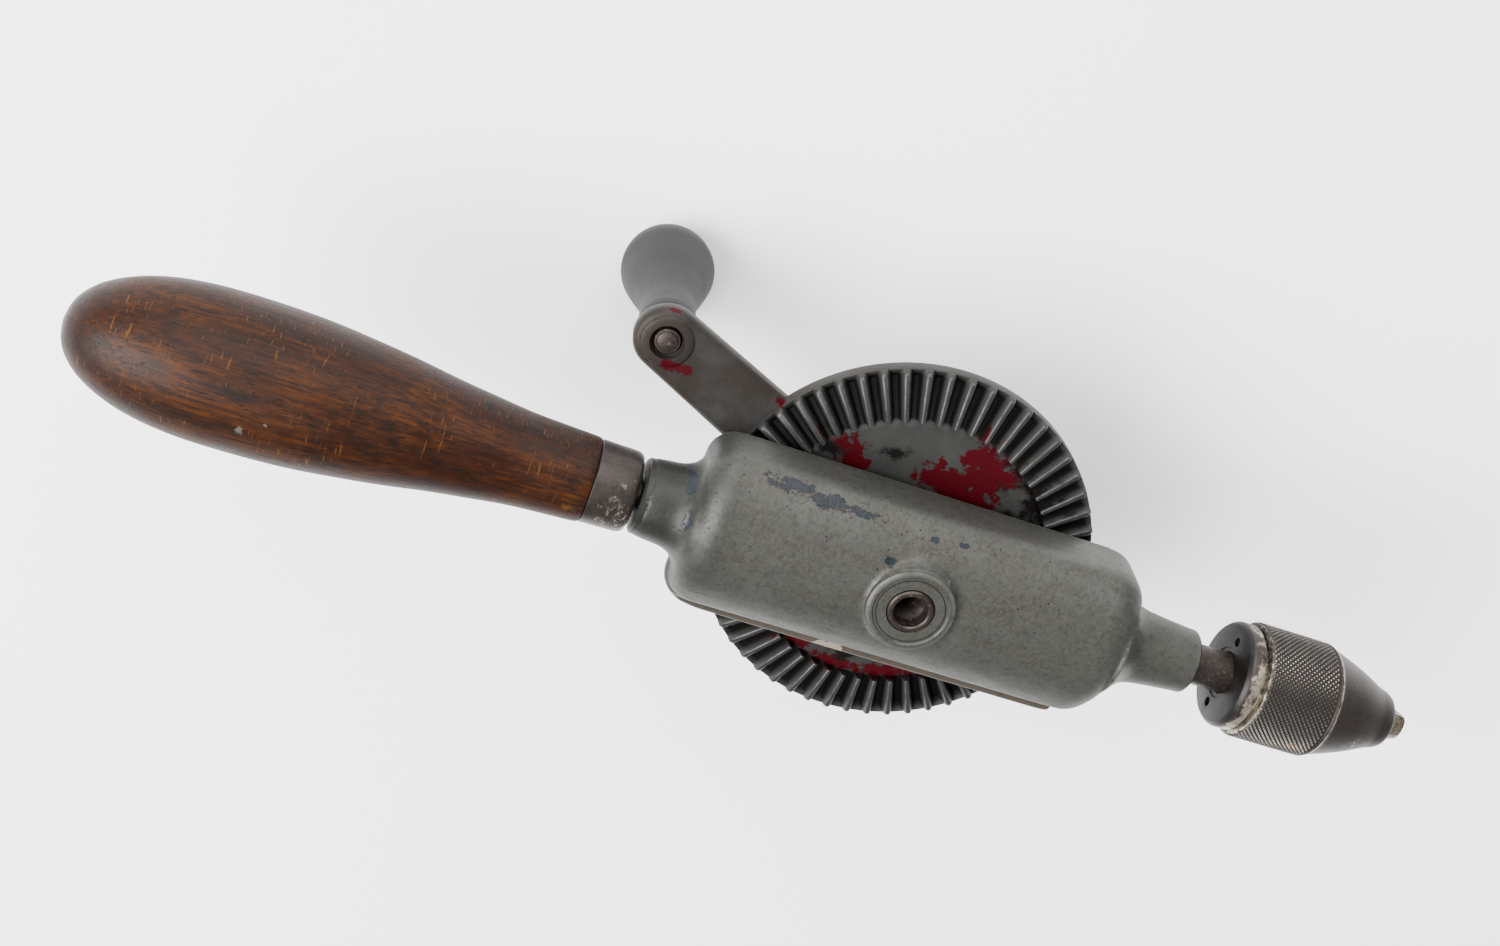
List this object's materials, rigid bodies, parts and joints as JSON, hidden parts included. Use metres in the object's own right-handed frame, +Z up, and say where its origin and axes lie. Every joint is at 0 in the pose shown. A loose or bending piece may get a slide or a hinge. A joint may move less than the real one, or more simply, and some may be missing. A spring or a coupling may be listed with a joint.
{
  "type": "hand drill",
  "caption": "Hand-cranked geared drill with a wooden handle, arched open-bottomed housing, toothed crank wheel, arm with turning knob and a keyless three-jaw chuck",
  "frame": {"origin": "middle of the bounding box in X and Y, at the lowest point, the end of the crank knob", "axes": "+X from the handle along the spindle to the chuck, +Z up along the crank axle, from the knob side to the boss side, +Y to the left seen from the handle"},
  "size_m": [0.33, 0.095, 0.0901],
  "materials": {
    "cast_alloy": "bare die-cast alloy, pitted and stained, with remnants of paint",
    "handle_wood": "dark stained hardwood, worn varnish",
    "dark_steel": "brown patina, rubbed bright on edges",
    "worn_steel": "turned steel, light rust",
    "jaw_steel": "ground steel, slightly tarnished",
    "bronze": "oiled bearing bronze"
  },
  "bodies": {
    "frame": {"frame_casting": "cast_alloy", "handle": "handle_wood", "ferrule": "dark_steel", "handle_tang": "worn_steel", "axle_stud": "worn_steel", "gear_washer": "worn_steel", "axle_washer": "worn_steel", "axle_screw": "worn_steel", "rear_bush": "bronze", "nose_bush": "bronze", "thrust_ball": "jaw_steel", "idler_pin": "worn_steel"},
    "crank": {"crank_gear": "cast_alloy", "gear_bush": "bronze", "knob_pin": "worn_steel", "knob_washer": "worn_steel"},
    "knob": {"crank_knob": "cast_alloy"},
    "spindle_line": {"spindle": "worn_steel", "drive_pinion": "worn_steel", "pinion_pin": "worn_steel", "thrust_washer": "worn_steel", "chuck_body": "dark_steel", "hood_ring": "worn_steel"},
    "idler": {"idler_pinion": "worn_steel"},
    "hood": {"chuck_hood": "dark_steel"},
    "guide": {"jaw_guide": "worn_steel"},
    "jaw_one": {"jaw_1": "jaw_steel"},
    "jaw_two": {"jaw_2": "jaw_steel"},
    "jaw_three": {"jaw_3": "jaw_steel"}
  },
  "joints": [
    {"name": "crank_turn", "type": "hinge", "parent": "frame", "child": "crank", "pos_m": [0.031, 0, 0.0576], "axis": [0, 0, 1], "continuous": true},
    {"name": "knob_spin", "type": "hinge", "parent": "crank", "child": "knob", "pos_m": [-0.0385, 0.03197, 0.0276], "axis": [0, 0, 1], "continuous": true},
    {"name": "spindle_spin", "type": "hinge", "parent": "frame", "child": "spindle_line", "pos_m": [0.091, 0, 0.0726], "axis": [1, 0, 0], "continuous": true},
    {"name": "idler_spin", "type": "hinge", "parent": "frame", "child": "idler", "pos_m": [-0.009, 0, 0.0726], "axis": [1, 0, 0], "continuous": true},
    {"name": "hood_turn", "type": "hinge", "parent": "spindle_line", "child": "hood", "pos_m": [0.131, 0, 0.0726], "axis": [1, 0, 0], "range_deg": [0, 1920]},
    {"name": "guide_slide", "type": "slide", "parent": "hood", "child": "guide", "axis": [1, 0, 0], "range_m": [-0.0084, 0]},
    {"name": "jaw_slide_1", "type": "slide", "parent": "guide", "child": "jaw_one", "axis": [0, 0, 1], "range_m": [0, 0.0031]},
    {"name": "jaw_slide_2", "type": "slide", "parent": "guide", "child": "jaw_two", "axis": [0, -0.866, -0.5], "range_m": [0, 0.0031]},
    {"name": "jaw_slide_3", "type": "slide", "parent": "guide", "child": "jaw_three", "axis": [0, 0.866, -0.5], "range_m": [0, 0.0031]}
  ],
  "couplings": [
    {"joint": "spindle_spin", "follows": "crank_turn", "ratio": 4},
    {"joint": "idler_spin", "follows": "crank_turn", "ratio": -4},
    {"joint": "guide_slide", "follows": "hood_turn", "m_per_rad": -0.00023873},
    {"joint": "jaw_slide_1", "follows": "hood_turn", "m_per_rad": 0.000085944},
    {"joint": "jaw_slide_2", "follows": "hood_turn", "m_per_rad": 0.000085944},
    {"joint": "jaw_slide_3", "follows": "hood_turn", "m_per_rad": 0.000085944}
  ]
}
